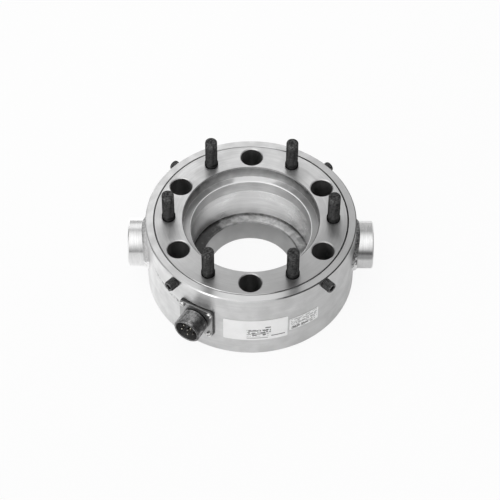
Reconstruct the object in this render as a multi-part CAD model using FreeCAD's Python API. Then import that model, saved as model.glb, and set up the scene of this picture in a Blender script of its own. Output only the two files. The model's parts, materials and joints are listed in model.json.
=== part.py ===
import FreeCAD, Part
import math
import os

# Hollow flange torque transducer, in millimetres.
# +Z is the torque axis and leaves the studded face. The origin is the centre of the
# lower mounting face. +X points at the right-hand side boss, -Y at the data label.

# Outer housing ring
body_d = 190.0
body_h = 76.0               # lower mounting face to studded face
housing_wall = 7.4
housing_lift = 0.5          # the ring ends this far above the lower mounting face
outer_bevel = 1.0
seam_bevel = 0.5
seam_clear = 0.5            # radial gap between the ring and both flanges

# Sensing element, from its rim inwards
rim_width = 3.1             # flange rim to the nearest point of an access hole
access_d = 20.0             # lets a bolt and its socket down to the lower flange
access_land = 1.3           # access hole to the torsion tube
torsion_wall = 4.5
gauge_space = 2.0           # room for gauges and wiring behind the sleeve
sleeve_wall = 1.5
pilot_step = 6.55           # main bore wall to pilot recess wall
ledge_width = 9.7           # main bore wall to the mouth of the throat
throat_draft = 6.2          # how much the throat narrows in radius, mouth to foot

# Sensing element, along its axis
upper_flange_t = 25.0
lower_flange_t = 19.8
pilot_depth = 12.3
register_h = 4.0            # height of each band that the sleeve sits in
ledge_drop = 2.3            # gap below the sleeve's lower end
root_radius = 2.5           # where the torsion tube meets the flanges
edge_bevel = 0.8
bolt_clear_d = 13.5         # plain holes of the lower flange

# Studs in the upper flange
bolt_count = 6
stud_d = 11.1
stud_foot_d = 9.5           # the end screwed into the flange
stud_reach = 31.0           # studded face to the stud's tip
stud_grip = 17.0            # length screwed into the flange
collar_d = 12.4
collar_h = 4.4
collar_taper = 0.9
stud_bevel = 1.4
centre_mark_d = 2.6
centre_mark_depth = 1.1

# Seal rings between the housing and the two flanges
seal_section = 3.0
seal_squeeze = 0.6          # how far the groove is shallower than the ring is thick
seal_side_room = 0.4

# Screws that hold the housing to the upper flange
side_screw_front_deg = 43.6  # from -Y, both ways
side_screw_back_deg = 45.6   # from +Y, both ways
side_screw_front_drop = 5.8  # below the studded face
side_screw_back_drop = 8.1
side_screw_d = 6.0
side_head_d = 9.7
side_head_front_h = 8.8
side_head_back_h = 6.4
side_screw_grip = 9.0        # length inside the flange
side_socket_af = 5.0
side_socket_depth = 4.5
side_head_bevel = 0.6

# Side bosses, welded on
boss_d = 43.4
boss_reach = 16.0           # housing surface to boss end, on the boss axis
boss_drop = 35.8            # boss axis below the studded face
boss_bevel = 1.0
weld_leg = 4.0
weld_bevel = 3.0

# Electrical connector, its flange and its screws
connector_deg = -119.5      # direction round the body
connector_headroom = 2.8    # rear shell to the underside of the upper flange
pad_w = 35.0                # flat machined for the connector flange
gasket_t = 1.2
plate_w = 33.3
plate_t = 2.4
plate_corner = 2.6
plate_hole_spacing = 27.0
barrel_d = 25.4
barrel_len = 16.6
barrel_bore_d = 21.6
barrel_bevel = 0.8
undercut_len = 1.6
undercut_depth = 1.2
rear_d = 22.0
rear_bore_d = 18.6
rear_len = 9.0              # behind the flange plate
key_w = 1.8
key_h = 0.9
key_root = 0.4              # how far the key's foot goes into the barrel's wall
insert_recess = 8.6         # mouth to the face of the insert
insert_tuck = 0.8           # rear shell end to the insert's rear face
plate_screw_d = 3.0
plate_screw_head_d = 5.4
plate_screw_head_h = 1.9
plate_screw_head_round = 1.1
plate_screw_grip = 5.0      # length inside the housing
plate_slot_w = 0.8
plate_slot_depth = 0.9
plate_slot_turn = 35.0      # the slots don't line up: each side's are turned this far

# Contacts of the connector: one in the middle and the rest round it
ring_contacts = 5
contact_circle_d = 11.8
contact_d = 1.6
contact_len = 7.2           # out of the insert's face
contact_tip_round = 0.6
cup_d = 2.5
cup_len = 3.5

# Labels on the housing
label_t = 0.15
data_label_w = 58.0
data_label_h = 27.6
data_label_deg = -86.9      # direction of its middle
data_label_drop = 27.6      # top edge below the studded face
second_label_w = 29.6
second_label_h = 15.8
second_label_gap = 1.6      # along the housing, from the data label
second_label_drop = 33.2

# Gauges and wiring behind the sleeve
gauge_count = 4
gauge_w = 12.0
gauge_end_room = 2.0        # gauge to the band of the circuit below and to the sleeve seat above
gauge_t = 0.15
flex_t = 0.35
flex_h = 3.5
flex_tail_w = 6.0
lead_d = 3.0
grommet_wall = 1.1
grommet_lip = 1.4
grommet_lip_t = 1.0

# Clearances
bond_line = 0.1             # adhesive under labels, gauges and the flexible circuit
push_fit = 0.05             # sleeve, studs, screws, insert and contacts in their holes
screw_clear = 0.3           # screws through the housing and the connector flange
rear_clear = 0.5            # rear shell through the housing

# How far a cutting tool runs past the face it opens, and the smallest length that counts
overrun = 1.0
least = 0.01

# Worked out from the sizes above: radii
body_r = body_d / 2
housing_bore_r = body_r - housing_wall
flange_r = housing_bore_r - seam_clear
bolt_circle_r = flange_r - rim_width - access_d / 2
tube_r = bolt_circle_r - access_d / 2 - access_land
gauge_wall_r = tube_r - torsion_wall
sleeve_r = gauge_wall_r - gauge_space
bore_r = sleeve_r - sleeve_wall
register_r = sleeve_r + push_fit
pilot_r = bore_r + pilot_step
throat_mouth_r = bore_r - ledge_width
throat_foot_r = throat_mouth_r - throat_draft
seal_floor_r = housing_bore_r - seal_section + seal_squeeze

# Worked out from the sizes above: heights
flange_under_z = body_h - upper_flange_t
pilot_floor_z = body_h - pilot_depth
sleeve_foot_z = lower_flange_t
ledge_z = sleeve_foot_z - ledge_drop
lower_register_z = lower_flange_t + register_h
upper_register_z = flange_under_z - register_h
side_screw_front_z = body_h - side_screw_front_drop
side_screw_back_z = body_h - side_screw_back_drop
lowest_screw_z = min(side_screw_front_z, side_screw_back_z)
boss_z = body_h - boss_drop
boss_end_x = body_r + boss_reach
seal_groove_h = seal_section + seal_side_room
upper_seal_z = (flange_under_z + lowest_screw_z - side_screw_d / 2) / 2
lower_seal_z = (housing_lift + lower_flange_t) / 2
gauge_low_z = lower_register_z + flex_h + gauge_end_room
gauge_high_z = upper_register_z - gauge_end_room

# Worked out from the sizes above: connector, along its own axis
connector_z = flange_under_z - connector_headroom - rear_d / 2
pad_x = math.sqrt(body_r ** 2 - (pad_w / 2) ** 2)
plate_back_x = pad_x + gasket_t
plate_face_x = plate_back_x + plate_t
mouth_x = plate_face_x + barrel_len
rear_x = plate_back_x - rear_len
insert_face_x = mouth_x - insert_recess
insert_rear_x = rear_x + insert_tuck
cup_end_x = insert_rear_x - cup_len

stud_angles = [360.0 / bolt_count * i for i in range(bolt_count)]
hole_angles = [a + 180.0 / bolt_count for a in stud_angles]

# Each side screw: direction, height and how high its head is
side_screws = [
    (-90.0 - side_screw_front_deg, side_screw_front_z, side_head_front_h),
    (-90.0 + side_screw_front_deg, side_screw_front_z, side_head_front_h),
    (90.0 - side_screw_back_deg, side_screw_back_z, side_head_back_h),
    (90.0 + side_screw_back_deg, side_screw_back_z, side_head_back_h),
]
corner_signs = [(1, 1), (-1, 1), (-1, -1), (1, -1)]
upwards = FreeCAD.Vector(0, 0, 1)
outwards = FreeCAD.Vector(1, 0, 0)
centre = FreeCAD.Vector(0, 0, 0)


# A corner of a turned profile: its radius, its place along the axis, and how it is broken.
def corner(radius, along, bevel=0.0, rounding=0.0):
    return (radius, along, bevel, rounding)


# The corner's start, middle and end points once it is broken. A square one has one point.
def broken(before, here, after):
    point = FreeCAD.Vector(here[0], here[1], 0)
    back = (FreeCAD.Vector(before[0], before[1], 0) - point).normalize()
    ahead = (FreeCAD.Vector(after[0], after[1], 0) - point).normalize()
    bevel, rounding = here[2], here[3]
    if bevel:
        return [point + back * bevel, point + ahead * bevel]
    if rounding:
        half = back.getAngle(ahead) / 2
        reach = rounding / math.tan(half)
        inward = (back + ahead).normalize()
        middle = point + inward * (rounding / math.sin(half) - rounding)
        return [point + back * reach, middle, point + ahead * reach]
    return [point]


# A solid of revolution about Z, or about X for the pieces that stand out sideways.
def turned(corners, axis=upwards, sweep=360.0):
    rows = []
    count = len(corners)
    for i in range(count):
        rows.append(broken(corners[i - 1], corners[i], corners[(i + 1) % count]))
    if axis is upwards:
        rows = [[FreeCAD.Vector(p.x, 0, p.y) for p in row] for row in rows]
    else:
        rows = [[FreeCAD.Vector(p.y, 0, p.x) for p in row] for row in rows]
    edges = []
    for i in range(count):
        row = rows[i]
        if len(row) == 2:
            edges.append(Part.makeLine(row[0], row[1]))
        if len(row) == 3:
            edges.append(Part.Arc(row[0], row[1], row[2]).toShape())
        start = row[-1]
        end = rows[(i + 1) % count][0]
        if start.distanceToPoint(end) > least:
            edges.append(Part.makeLine(start, end))
    face = Part.Face(Part.Wire(edges))
    return face.revolve(centre, axis, sweep)


# Moves a piece made along +X to its direction and height on the body.
def set_out(shape, degrees, height=0.0):
    moved = shape.copy()
    moved.rotate(centre, upwards, degrees)
    moved.translate(upwards * height)
    return moved


# A round bar along X, from one distance off the body's axis to another.
def radial_bar(radius, start, end):
    return Part.makeCylinder(radius, end - start, outwards * start, outwards)


# An upright round bar at a place on the bolt circle.
def upright_bar(radius, low, high, degrees):
    bar = Part.makeCylinder(radius, high - low, FreeCAD.Vector(bolt_circle_r, 0, low), upwards)
    bar.rotate(centre, upwards, degrees)
    return bar


# A tool that sinks a hole and breaks its edge at the face.
def bevelled_hole_tool(radius, low, high, degrees, bevel):
    mouth = bevel + overrun
    foot = FreeCAD.Vector(bolt_circle_r, 0, high - bevel)
    cone = Part.makeCone(radius, radius + mouth, mouth, foot, upwards)
    cone.rotate(centre, upwards, degrees)
    return upright_bar(radius, low, high + mouth, degrees).fuse(cone)


# A square plate along X with rounded corners.
def rounded_plate(side, rounding, start, thickness):
    low = FreeCAD.Vector(start, -side / 2, -side / 2)
    plate = Part.makeBox(thickness, side, side, low)
    long_edges = [e for e in plate.Edges if abs(e.tangentAt(e.FirstParameter).x) > 0.99]
    return plate.makeFillet(rounding, long_edges)


# The flange plate's screws or their holes: bars along X at its four corners.
def plate_bars(radius, start, end):
    bars = []
    for side, up in corner_signs:
        bar = radial_bar(radius, start, end)
        bar.translate(FreeCAD.Vector(0, side, up) * (plate_hole_spacing / 2))
        bars.append(bar)
    return bars


# A six-sided prism along X.
def hexagon_bar(across_flats, start, end):
    corner_r = across_flats / math.sqrt(3)
    points = []
    for i in range(7):
        angle = math.radians(60 * i)
        points.append(FreeCAD.Vector(start, corner_r * math.cos(angle), corner_r * math.sin(angle)))
    return Part.Face(Part.makePolygon(points)).extrude(outwards * (end - start))


# A thin curved patch on a round wall.
def curved_patch(inner_r, outer_r, low, high, width, middle_deg):
    sweep = math.degrees(width / outer_r)
    corners = [
        corner(inner_r, low),
        corner(outer_r, low),
        corner(outer_r, high),
        corner(inner_r, high),
    ]
    return set_out(turned(corners, upwards, sweep), middle_deg - sweep / 2)


# Sensing element: both flanges, the torsion tube between them and the stepped bore.
def make_sensing_element():
    half_groove = seal_groove_h / 2
    outside = [
        corner(flange_r, 0, edge_bevel),
        corner(flange_r, lower_seal_z - half_groove),
        corner(seal_floor_r, lower_seal_z - half_groove),
        corner(seal_floor_r, lower_seal_z + half_groove),
        corner(flange_r, lower_seal_z + half_groove),
        corner(flange_r, lower_flange_t, edge_bevel),
        corner(tube_r, lower_flange_t, 0, root_radius),
        corner(tube_r, flange_under_z, 0, root_radius),
        corner(flange_r, flange_under_z, edge_bevel),
        corner(flange_r, upper_seal_z - half_groove),
        corner(seal_floor_r, upper_seal_z - half_groove),
        corner(seal_floor_r, upper_seal_z + half_groove),
        corner(flange_r, upper_seal_z + half_groove),
        corner(flange_r, body_h, seam_bevel),
    ]
    inside = [
        corner(pilot_r, body_h, edge_bevel),
        corner(pilot_r, pilot_floor_z),
        corner(bore_r, pilot_floor_z, edge_bevel),
        corner(bore_r, flange_under_z),
        corner(register_r, flange_under_z),
        corner(register_r, upper_register_z),
        corner(gauge_wall_r, upper_register_z),
        corner(gauge_wall_r, lower_register_z),
        corner(register_r, lower_register_z),
        corner(register_r, ledge_z),
        corner(throat_mouth_r, ledge_z, edge_bevel),
        corner(throat_foot_r, 0, edge_bevel),
    ]
    element = turned(outside + inside)
    tools = []
    for angle in hole_angles:
        tools.append(bevelled_hole_tool(access_d / 2, flange_under_z - overrun, body_h, angle, edge_bevel))
        tools.append(upright_bar(bolt_clear_d / 2, -overrun, lower_flange_t + overrun, angle))
    for angle in stud_angles:
        tools.append(upright_bar(stud_foot_d / 2 + push_fit, body_h - stud_grip, body_h + overrun, angle))
    for angle, height, _ in side_screws:
        bar = radial_bar(side_screw_d / 2 + push_fit, flange_r - side_screw_grip, flange_r + overrun)
        tools.append(set_out(bar, angle, height))
    lead_hole = radial_bar(lead_d / 2 + grommet_wall, gauge_wall_r - overrun, tube_r + overrun)
    # Room for the connector's rear end and the grommet's lip, where a flange comes near them
    rear_room = radial_bar(rear_d / 2 + rear_clear, cup_end_x - rear_clear, flange_r + overrun)
    lip_r = lead_d / 2 + grommet_wall + grommet_lip
    lip_room = radial_bar(lip_r + push_fit, tube_r + push_fit, tube_r + root_radius + overrun)
    for tool in (lead_hole, rear_room, lip_room):
        tools.append(set_out(tool, connector_deg, connector_z))
    return element.cut(tools)


# Housing ring with the connector's flat and opening and the side screws' holes.
def make_outer_housing():
    ring = turned([
        corner(housing_bore_r, housing_lift, seam_bevel),
        corner(body_r, housing_lift, outer_bevel),
        corner(body_r, body_h, outer_bevel),
        corner(housing_bore_r, body_h, seam_bevel),
    ])
    tools = []
    for angle, height, _ in side_screws:
        bar = radial_bar(side_screw_d / 2 + screw_clear, housing_bore_r - overrun, body_r + overrun)
        tools.append(set_out(bar, angle, height))
    pad = Part.makeBox(body_r, pad_w, pad_w, FreeCAD.Vector(pad_x, -pad_w / 2, -pad_w / 2))
    opening = radial_bar(rear_d / 2 + rear_clear, housing_bore_r - overrun, body_r + overrun)
    taps = plate_bars(plate_screw_d / 2 + push_fit, pad_x - plate_screw_grip, body_r)
    for tool in [pad, opening] + taps:
        tools.append(set_out(tool, connector_deg, connector_z))
    return ring.cut(tools)


# Thin sleeve that lines the bore and covers the gauges.
def make_inner_sleeve():
    return turned([
        corner(bore_r, sleeve_foot_z),
        corner(sleeve_r, sleeve_foot_z),
        corner(sleeve_r, flange_under_z),
        corner(bore_r, flange_under_z, seam_bevel),
    ])


# Rubber ring, pressed flat against its groove's floor and the housing bore.
def make_seal_ring(height):
    inner_r = seal_floor_r
    outer_r = housing_bore_r
    rounding = (outer_r - inner_r) / 3
    half = seal_section / 2
    return turned([
        corner(inner_r, height - half, 0, rounding),
        corner(outer_r, height - half, 0, rounding),
        corner(outer_r, height + half, 0, rounding),
        corner(inner_r, height + half, 0, rounding),
    ])


# Stud with a collar that stands on the flange and a centre mark in its tip.
def make_stud(degrees):
    stud_r = stud_d / 2
    foot_r = stud_foot_d / 2
    collar_r = collar_d / 2
    tip_z = body_h + stud_reach
    collar_z = body_h + collar_h
    profile = [
        corner(0, body_h - stud_grip),
        corner(foot_r, body_h - stud_grip, stud_bevel),
        corner(foot_r, body_h),
        corner(collar_r, body_h),
        corner(collar_r, collar_z - collar_taper),
        corner(stud_r, collar_z),
        corner(stud_r, tip_z, stud_bevel),
        corner(centre_mark_d / 2, tip_z),
        corner(0, tip_z - centre_mark_depth),
    ]
    stud = turned(profile)
    stud.translate(outwards * bolt_circle_r)
    return set_out(stud, degrees)


# Socket-head screw through the housing into the upper flange.
def make_side_screw(degrees, height, head_h):
    screw_r = side_screw_d / 2
    head_r = side_head_d / 2
    tip_x = flange_r - side_screw_grip
    end_x = body_r + head_h
    screw = turned([
        corner(0, tip_x),
        corner(screw_r, tip_x, side_head_bevel),
        corner(screw_r, body_r),
        corner(head_r, body_r),
        corner(head_r, end_x, side_head_bevel),
        corner(0, end_x),
    ], outwards)
    socket = hexagon_bar(side_socket_af, end_x - side_socket_depth, end_x + overrun)
    return set_out(screw.cut(socket), degrees, height)


# Turned boss whose root fits the round housing.
def make_side_boss(degrees):
    boss = turned([
        corner(0, 0),
        corner(boss_d / 2, 0),
        corner(boss_d / 2, boss_end_x, boss_bevel),
        corner(0, boss_end_x),
    ], outwards)
    housing_space = Part.makeCylinder(body_r, boss_d * 2, FreeCAD.Vector(0, 0, -boss_d), upwards)
    return set_out(boss.cut(housing_space), degrees, boss_z)


# Whether an edge lies where a wall round the boss axis meets a wall round the torque axis.
def on_both_walls(edge, boss_wall_r, body_wall_r):
    for point in (v.Point for v in edge.Vertexes):
        if abs(math.hypot(point.y, point.z) - boss_wall_r) > least:
            return False
        if abs(math.hypot(point.x, point.y) - body_wall_r) > least:
            return False
    return True


# Fillet weld that runs round the boss and follows the housing.
def make_boss_weld(degrees):
    outer_r = boss_d / 2 + weld_leg
    low = FreeCAD.Vector(0, 0, -outer_r * 2)
    blank = radial_bar(outer_r, 0, boss_end_x)
    limit = Part.makeCylinder(body_r + weld_leg, outer_r * 4, low, upwards)
    housing_space = Part.makeCylinder(body_r, outer_r * 4, low, upwards)
    bead = blank.common(limit).cut([housing_space, radial_bar(boss_d / 2, 0, boss_end_x + overrun)])
    outer_edges = [e for e in bead.Edges if on_both_walls(e, outer_r, body_r + weld_leg)]
    return set_out(bead.makeChamfer(weld_bevel, outer_edges), degrees, boss_z)


# Connector shell: rear shell, square flange and the barrel that the plug screws onto.
def make_connector_shell():
    barrel_r = barrel_d / 2
    undercut_r = barrel_r - undercut_depth
    root_x = plate_face_x + undercut_len
    shell = turned([
        corner(rear_bore_d / 2, rear_x),
        corner(rear_d / 2, rear_x, barrel_bevel),
        corner(rear_d / 2, plate_back_x),
        corner(undercut_r, plate_back_x),
        corner(undercut_r, root_x),
        corner(barrel_r, root_x, barrel_bevel),
        corner(barrel_r, mouth_x, barrel_bevel),
        corner(barrel_bore_d / 2, mouth_x),
        corner(barrel_bore_d / 2, plate_back_x),
        corner(rear_bore_d / 2, plate_back_x),
    ], outwards)
    plate = rounded_plate(plate_w, plate_corner, plate_back_x, plate_t)
    middle = radial_bar(undercut_r, plate_back_x - overrun, plate_face_x + overrun)
    hole_r = plate_screw_d / 2 + screw_clear
    holes = plate_bars(hole_r, plate_back_x - overrun, plate_face_x + overrun)
    key_low = FreeCAD.Vector(insert_face_x, -key_w / 2, barrel_bore_d / 2 - key_h)
    key_len = mouth_x - barrel_bevel - insert_face_x
    key = Part.makeBox(key_len, key_w, key_h + key_root, key_low)
    whole = shell.fuse([plate.cut([middle] + holes), key])
    return set_out(whole.removeSplitter(), connector_deg, connector_z)


# Rubber gasket between the housing's flat and the flange.
def make_connector_gasket():
    sheet = rounded_plate(plate_w, plate_corner, pad_x, gasket_t)
    opening = radial_bar(rear_d / 2 + rear_clear, pad_x - overrun, plate_back_x + overrun)
    hole_r = plate_screw_d / 2 + screw_clear
    holes = plate_bars(hole_r, pad_x - overrun, plate_back_x + overrun)
    return set_out(sheet.cut([opening] + holes), connector_deg, connector_z)


# Where each contact stands on the insert: across and up from the connector's axis.
def contact_places():
    places = [(0.0, 0.0)]
    for i in range(ring_contacts):
        angle = math.radians(90.0 + 360.0 / ring_contacts * (i + 0.5))
        places.append((contact_circle_d / 2 * math.cos(angle), contact_circle_d / 2 * math.sin(angle)))
    return places


# Moulded insert that holds the contacts.
def make_connector_insert():
    disc = turned([
        corner(0, insert_rear_x),
        corner(rear_bore_d / 2 - push_fit, insert_rear_x),
        corner(rear_bore_d / 2 - push_fit, plate_back_x),
        corner(barrel_bore_d / 2 - push_fit, plate_back_x),
        corner(barrel_bore_d / 2 - push_fit, insert_face_x, seam_bevel),
        corner(0, insert_face_x),
    ], outwards)
    holes = []
    for across, up in contact_places():
        hole_r = contact_d / 2 + push_fit
        hole = radial_bar(hole_r, insert_rear_x - overrun, insert_face_x + overrun)
        hole.translate(FreeCAD.Vector(0, across, up))
        holes.append(hole)
    return set_out(disc.cut(holes), connector_deg, connector_z)


# Contact pin with a rounded tip and a solder cup behind the insert.
def make_contact(across, up):
    pin_r = contact_d / 2
    cup_r = cup_d / 2
    tip_x = insert_face_x + contact_len
    pin = turned([
        corner(0, cup_end_x),
        corner(cup_r, cup_end_x),
        corner(cup_r, insert_rear_x),
        corner(pin_r, insert_rear_x),
        corner(pin_r, tip_x, 0, contact_tip_round),
        corner(0, tip_x),
    ], outwards)
    pin.translate(FreeCAD.Vector(0, across, up))
    return set_out(pin, connector_deg, connector_z)


# Slotted screw at a corner of the connector flange.
def make_plate_screw(side, up):
    screw_r = plate_screw_d / 2
    head_r = plate_screw_head_d / 2
    head_x = plate_face_x + plate_screw_head_h
    screw = turned([
        corner(0, pad_x - plate_screw_grip),
        corner(screw_r, pad_x - plate_screw_grip),
        corner(screw_r, plate_face_x),
        corner(head_r, plate_face_x),
        corner(head_r, head_x, 0, plate_screw_head_round),
        corner(0, head_x),
    ], outwards)
    slot_low = FreeCAD.Vector(head_x - plate_slot_depth, -plate_screw_head_d, -plate_slot_w / 2)
    slot = Part.makeBox(plate_slot_depth + overrun, plate_screw_head_d * 2, plate_slot_w, slot_low)
    slot.rotate(centre, outwards, plate_slot_turn * side)
    screw = screw.cut(slot)
    screw.translate(FreeCAD.Vector(0, side, up) * (plate_hole_spacing / 2))
    return set_out(screw, connector_deg, connector_z)


# Label bonded to the housing, bare of print.
def make_label(width, height, drop, middle_deg):
    high = body_h - drop
    inner_r = body_r + bond_line
    return curved_patch(inner_r, inner_r + label_t, high - height, high, width, middle_deg)


# Foil gauge bonded to the inside of the torsion tube.
def make_gauge(degrees):
    outer_r = gauge_wall_r - bond_line
    return curved_patch(outer_r - gauge_t, outer_r, gauge_low_z, gauge_high_z, gauge_w, degrees)


# Flexible circuit: a band round the tube with a tail up to the lead hole.
def make_gauge_circuit():
    outer_r = gauge_wall_r - bond_line
    inner_r = outer_r - flex_t
    band = turned([
        corner(inner_r, lower_register_z),
        corner(outer_r, lower_register_z),
        corner(outer_r, lower_register_z + flex_h),
        corner(inner_r, lower_register_z + flex_h),
    ])
    tail = curved_patch(inner_r, outer_r, lower_register_z, connector_z, flex_tail_w, connector_deg)
    return band.fuse(tail).removeSplitter()


# Rubber grommet in the tube wall, with a lip outside.
def make_lead_grommet():
    hole_r = lead_d / 2 + grommet_wall
    lip_x = tube_r
    grommet = turned([
        corner(lead_d / 2 + push_fit, gauge_wall_r + push_fit),
        corner(hole_r - push_fit, gauge_wall_r + push_fit),
        corner(hole_r - push_fit, lip_x),
        corner(hole_r + grommet_lip, lip_x),
        corner(hole_r + grommet_lip, lip_x + grommet_lip_t),
        corner(lead_d / 2 + push_fit, lip_x + grommet_lip_t),
    ], outwards)
    return set_out(grommet, connector_deg, connector_z)


# Bundle of leads from the flexible circuit to the middle contact's cup.
def make_lead_bundle():
    return set_out(radial_bar(lead_d / 2, gauge_wall_r, cup_end_x), connector_deg, connector_z)


def save(name, shape):
    shape.exportStep("parts/%s.step" % name)
    print(name, shape.isValid(), len(shape.Solids), round(shape.Volume, 1))


def main():
    os.makedirs("parts", exist_ok=True)
    save("sensing_element", make_sensing_element())
    save("outer_housing", make_outer_housing())
    save("inner_sleeve", make_inner_sleeve())
    save("upper_seal_ring", make_seal_ring(upper_seal_z))
    save("lower_seal_ring", make_seal_ring(lower_seal_z))
    for i, angle in enumerate(stud_angles):
        save("mounting_stud_%d" % (i + 1), make_stud(angle))
    for i, (angle, height, head_h) in enumerate(side_screws):
        save("housing_screw_%d" % (i + 1), make_side_screw(angle, height, head_h))
    for name, angle in (("right", 0.0), ("left", 180.0)):
        save("side_boss_%s" % name, make_side_boss(angle))
        save("boss_weld_%s" % name, make_boss_weld(angle))
    save("connector_shell", make_connector_shell())
    save("connector_gasket", make_connector_gasket())
    save("connector_insert", make_connector_insert())
    for i, (across, up) in enumerate(contact_places()):
        save("contact_pin_%d" % (i + 1), make_contact(across, up))
    for i, (side, up) in enumerate(corner_signs):
        save("connector_screw_%d" % (i + 1), make_plate_screw(side, up))
    save("data_label", make_label(data_label_w, data_label_h, data_label_drop, data_label_deg))
    label_reach = (data_label_w + second_label_w) / 2 + second_label_gap
    second_deg = data_label_deg + math.degrees(label_reach / body_r)
    save("second_label", make_label(second_label_w, second_label_h, second_label_drop, second_deg))
    for i in range(gauge_count):
        save("strain_gauge_%d" % (i + 1), make_gauge(360.0 / gauge_count * i))
    save("gauge_circuit", make_gauge_circuit())
    save("lead_grommet", make_lead_grommet())
    save("lead_bundle", make_lead_bundle())


main()
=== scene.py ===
import json
import math
import bpy
from mathutils import Matrix, Vector, noise


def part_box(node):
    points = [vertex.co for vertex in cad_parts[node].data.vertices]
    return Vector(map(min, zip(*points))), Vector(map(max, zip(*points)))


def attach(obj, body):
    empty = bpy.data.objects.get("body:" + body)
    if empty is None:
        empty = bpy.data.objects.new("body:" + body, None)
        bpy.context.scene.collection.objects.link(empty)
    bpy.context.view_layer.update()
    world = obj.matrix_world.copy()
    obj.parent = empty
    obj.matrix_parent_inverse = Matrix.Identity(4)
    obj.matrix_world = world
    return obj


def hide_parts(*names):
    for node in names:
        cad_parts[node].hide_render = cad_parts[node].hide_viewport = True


# Hollow flange torque transducer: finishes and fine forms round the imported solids.
# Metres. +Z is the torque axis, +X points at the right boss, -Y at the large label.

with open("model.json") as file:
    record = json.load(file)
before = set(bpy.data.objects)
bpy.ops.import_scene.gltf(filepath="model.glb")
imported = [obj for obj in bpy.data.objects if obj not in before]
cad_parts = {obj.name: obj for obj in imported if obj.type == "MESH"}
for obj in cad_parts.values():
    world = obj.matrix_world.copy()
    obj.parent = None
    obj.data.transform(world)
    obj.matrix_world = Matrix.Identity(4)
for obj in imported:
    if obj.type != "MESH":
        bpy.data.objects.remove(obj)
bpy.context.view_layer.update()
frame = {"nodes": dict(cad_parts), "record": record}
print("frame loaded,", len(frame["nodes"]), "solids")

scene = bpy.context.scene
scene.view_settings.view_transform = "Standard"
mm = 0.001
upwards = Vector((0, 0, 1))
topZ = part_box("sensing_element")[1].z
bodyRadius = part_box("outer_housing")[1].y
mounts = {mount["name"]: mount for mount in frame["record"]["mounts"]}


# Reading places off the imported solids

def nodePoints(name):
    return [vertex.co for vertex in frame["nodes"][name].data.vertices]


def spanAlong(name, axis):
    places = [point.dot(axis) for point in nodePoints(name)]
    return min(places), max(places)


def middleZ(name):
    low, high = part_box(name)
    return (low.z + high.z) / 2


def compassOf(point):
    return math.atan2(point.y, point.x)


def polar(radius, angle, height):
    return Vector((radius * math.cos(angle), radius * math.sin(angle), height))


def compassVector(compassDeg, elevationDeg=0.0):
    rise = math.radians(elevationDeg)
    return polar(math.cos(rise), math.radians(compassDeg), math.sin(rise))


connectorAxis = Vector(mounts["connector_barrel"]["axis"]).normalized()
connectorZ = mounts["connector_barrel"]["pos_m"][2]
connectorSide = upwards.cross(connectorAxis).normalized()
plateThickness = 2.4 * mm
plateBack = spanAlong("connector_gasket", connectorAxis)[1]
plateFront = plateBack + plateThickness


# A value in a shader tree. Sums and comparisons with it become math nodes of that tree.
class Signal:
    def __init__(self, tree, socket):
        self.tree = tree
        self.socket = socket

    def __add__(self, other):
        return calc("ADD", self, other)

    __radd__ = __add__

    def __sub__(self, other):
        return calc("SUBTRACT", self, other)

    def __rsub__(self, other):
        return calc("SUBTRACT", other, self)

    def __mul__(self, other):
        return calc("MULTIPLY", self, other)

    def __truediv__(self, other):
        return calc("DIVIDE", self, other)

    def __rtruediv__(self, other):
        return calc("DIVIDE", other, self)

    def __pow__(self, other):
        return calc("POWER", self, other)

    def __gt__(self, other):
        return calc("GREATER_THAN", self, other)

    def __lt__(self, other):
        return calc("LESS_THAN", self, other)

    def __abs__(self):
        return calc("ABSOLUTE", self)


# Links a signal to a socket, or sets the socket. One number on a colour socket is a grey.
def feed(value, socket):
    if isinstance(value, Signal):
        value.tree.links.new(value.socket, socket)
    elif socket.type == "RGBA" and isinstance(value, float):
        socket.default_value = (value, value, value, 1.0)
    else:
        socket.default_value = value


def makeNode(tree, kind, inputs, output=0, **settings):
    node = tree.nodes.new(kind)
    for label, setting in settings.items():
        setattr(node, label, setting)
    for label, value in inputs.items():
        feed(value, node.inputs[label])
    return Signal(tree, node.outputs[output])


def treeOf(values):
    return next(value.tree for value in values if isinstance(value, Signal))


def calc(operation, *values):
    return makeNode(treeOf(values), "ShaderNodeMath", dict(enumerate(values)), operation=operation)


def vectorCalc(operation, *values):
    given = dict(enumerate(values))
    output = "Value" if operation in ("LENGTH", "DOT_PRODUCT") else "Vector"
    return makeNode(treeOf(values), "ShaderNodeVectorMath", given, output, operation=operation)


def split(vector):
    node = vector.tree.nodes.new("ShaderNodeSeparateXYZ")
    feed(vector, node.inputs[0])
    return [Signal(vector.tree, output) for output in node.outputs]


def join(*parts):
    return makeNode(treeOf(parts), "ShaderNodeCombineXYZ", dict(enumerate(parts)))


def flatLength(x, y):
    return vectorCalc("LENGTH", join(x, y, 0.0))


def rotated(vector, turns):
    given = {"Vector": vector, "Rotation": turns}
    return makeNode(vector.tree, "ShaderNodeVectorRotate", given, rotation_type="EULER_XYZ")


def remap(value, fromLow, fromHigh, toLow=0.0, toHigh=1.0):
    given = dict(enumerate((value, fromLow, fromHigh, toLow, toHigh)))
    return makeNode(value.tree, "ShaderNodeMapRange", given, interpolation_type="SMOOTHSTEP")


# 1 between two limits and 0 outside them
def between(value, low, high):
    return (value > low) * (value < high)


def blend(factor, first, second):
    return makeNode(factor.tree, "ShaderNodeMix", {0: factor, 6: first, 7: second}, 2, data_type="RGBA")


def levelBetween(share, first, second):
    return share * second + (1.0 - share) * first


# A value that a field from 0 to 1 pushes up and down
def stirred(value, field, reach):
    return value + (field - 0.5) * reach


def noiseField(place, scale, detail=3.0, roughness=0.55):
    given = {"Vector": place, "Scale": scale, "Detail": detail, "Roughness": roughness}
    return makeNode(place.tree, "ShaderNodeTexNoise", given)


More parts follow.
